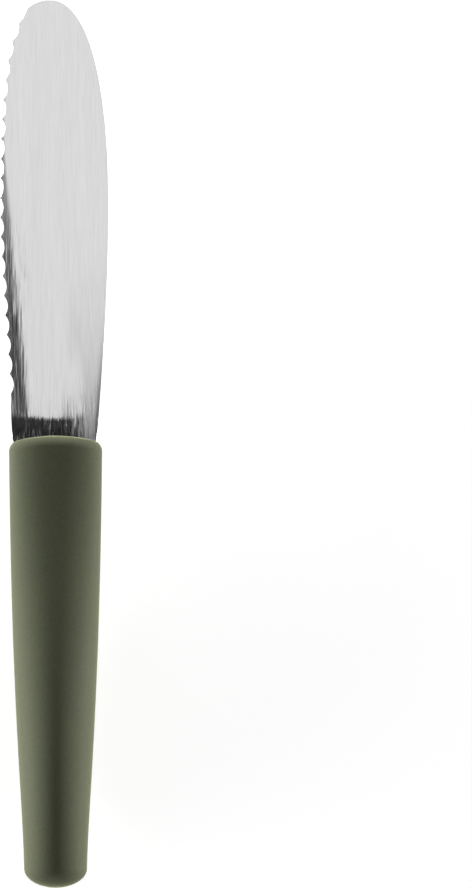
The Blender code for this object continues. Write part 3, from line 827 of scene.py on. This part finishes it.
# Light
# A dim room, an overhead card that the flat of the blade reflects, and three low soft boxes: the
# strongest beside the serrated edge, one beside the spine and a weak one beyond the tip.
CARD_HEIGHT = 12.0
CARD_REACH_TO_TIP = 0.94
CARD_REACH_TO_BUTT = 0.90
CARD_WIDTH = 3.0
CARD_OFFSET = 0.146
CARD_POWER = 23.5
AIM_HEIGHT = 0.01
# Each low soft box: its place, its width, its height and its power in watts
SOFT_BOXES = {
    "edge_side_strip": ((0, 1.8, 0.125), 3.0, 0.22, 80),
    "spine_side_strip": ((0, -1.8, 0.125), 3.0, 0.22, 62),
    "tip_side_box": ((1.8, 0, 0.30), 1.6, 0.5, 25),
}
# Brightness by height, from 0 at the horizon to 1 overhead: of the room, and of the pale paper that
# sweeps up from the table and that the camera and polished metal see instead of the room
ROOM_LEVELS = ((0.0, 0.30), (0.20, 0.035), (0.75, 0.018), (0.92, 0.010))
PAPER_LEVELS = ((0.0, 1.0), (0.30, 0.60), (0.60, 0.38), (0.80, 0.16), (0.93, 0.010))
# The room is dimmer on the butt's side: how far that goes, and between which directions along X
ROOM_SHARE_AT_BUTT = 0.3
ROOM_TURNS_DIM = (-0.9, 0.1)


def soft_box(name, place, target, wide, high, power):
    """A plain rectangular lamp that faces a point, unseen by the camera."""
    lamp = bpy.data.lights.new(name, "AREA")
    lamp.shape = "RECTANGLE"
    lamp.size = wide
    lamp.size_y = high
    lamp.energy = power
    made = bpy.data.objects.new(name, lamp)
    made.location = place
    made.rotation_euler = (Vector(target) - Vector(place)).to_track_quat("-Z", "Y").to_euler()
    made.visible_camera = False
    bpy.context.scene.collection.objects.link(made)
    return made


card_middle = (CARD_REACH_TO_TIP - CARD_REACH_TO_BUTT) / 2
card = soft_box("overhead_card", (card_middle, CARD_OFFSET, CARD_HEIGHT),
                (card_middle, CARD_OFFSET, 0), CARD_REACH_TO_TIP + CARD_REACH_TO_BUTT, CARD_WIDTH,
                CARD_POWER)
# Aimed straight down, a lamp could come out turned, so the card is set square to the knife
card.rotation_euler = (0, 0, 0)
for name, (place, wide, high, power) in SOFT_BOXES.items():
    soft_box(name, place, (0, 0, AIM_HEIGHT), wide, high, power)

world = bpy.data.worlds.new("room")
bpy.context.scene.world = world
world.use_nodes = True
room = world.node_tree
room.nodes.clear()
direction = add_node(room, "ShaderNodeTexCoord").outputs["Generated"]
towards = add_node(room, "ShaderNodeSeparateXYZ", {"Vector": direction})
walls = add_node(room, "ShaderNodeValToRGB", {"Fac": towards.outputs["Z"]})
paper = add_node(room, "ShaderNodeValToRGB", {"Fac": towards.outputs["Z"]})
for ramp, levels in ((walls.color_ramp, ROOM_LEVELS), (paper.color_ramp, PAPER_LEVELS)):
    ramp.interpolation = "EASE"
    for stop, (height, level) in zip(ramp.elements, levels):
        stop.position = height
        stop.color = (level, level, level, 1)
    for height, level in levels[2:]:
        ramp.elements.new(height).color = (level, level, level, 1)
towards_tip = add_node(room, "ShaderNodeMapRange", {
    "Value": towards.outputs["X"], "From Min": ROOM_TURNS_DIM[0], "From Max": ROOM_TURNS_DIM[1],
    "To Min": ROOM_SHARE_AT_BUTT, "To Max": 1})
lighting = add_node(room, "ShaderNodeBackground", {
    "Color": walls.outputs["Color"], "Strength": towards_tip.outputs["Result"]})
sweep = add_node(room, "ShaderNodeBackground", {"Color": paper.outputs["Color"]})
shown = add_node(room, "ShaderNodeMixShader", {
    0: seen_or_mirrored(room), 1: lighting.outputs[0], 2: sweep.outputs[0]})
add_node(room, "ShaderNodeOutputWorld", {"Surface": shown.outputs[0]})

# Camera
# It looks straight down on the knife, which lies towards the left of the frame with its tip up.
# A long lens keeps the view as flat as the photograph's. Rows and columns are in pixels.
PHOTO_WIDTH = 472
PHOTO_HEIGHT = 888
PIXEL = 0.0002574
CROWN_ROW = 435.65
AXIS_COLUMN = 55.6
LENS = 600
CLIP_END = 40

camera = bpy.data.objects.new("camera", bpy.data.cameras.new("camera"))
camera.data.lens = LENS
camera.data.clip_end = CLIP_END
distance = PHOTO_HEIGHT * PIXEL * LENS / camera.data.sensor_width
camera.location = crown + Vector((
    (CROWN_ROW - PHOTO_HEIGHT / 2) * PIXEL,
    -(PHOTO_WIDTH / 2 - AXIS_COLUMN) * PIXEL,
    distance,
))
camera.rotation_euler = (0, 0, -math.pi / 2)
bpy.context.scene.collection.objects.link(camera)
bpy.context.scene.camera = camera
bpy.context.scene.view_settings.view_transform = "Standard"
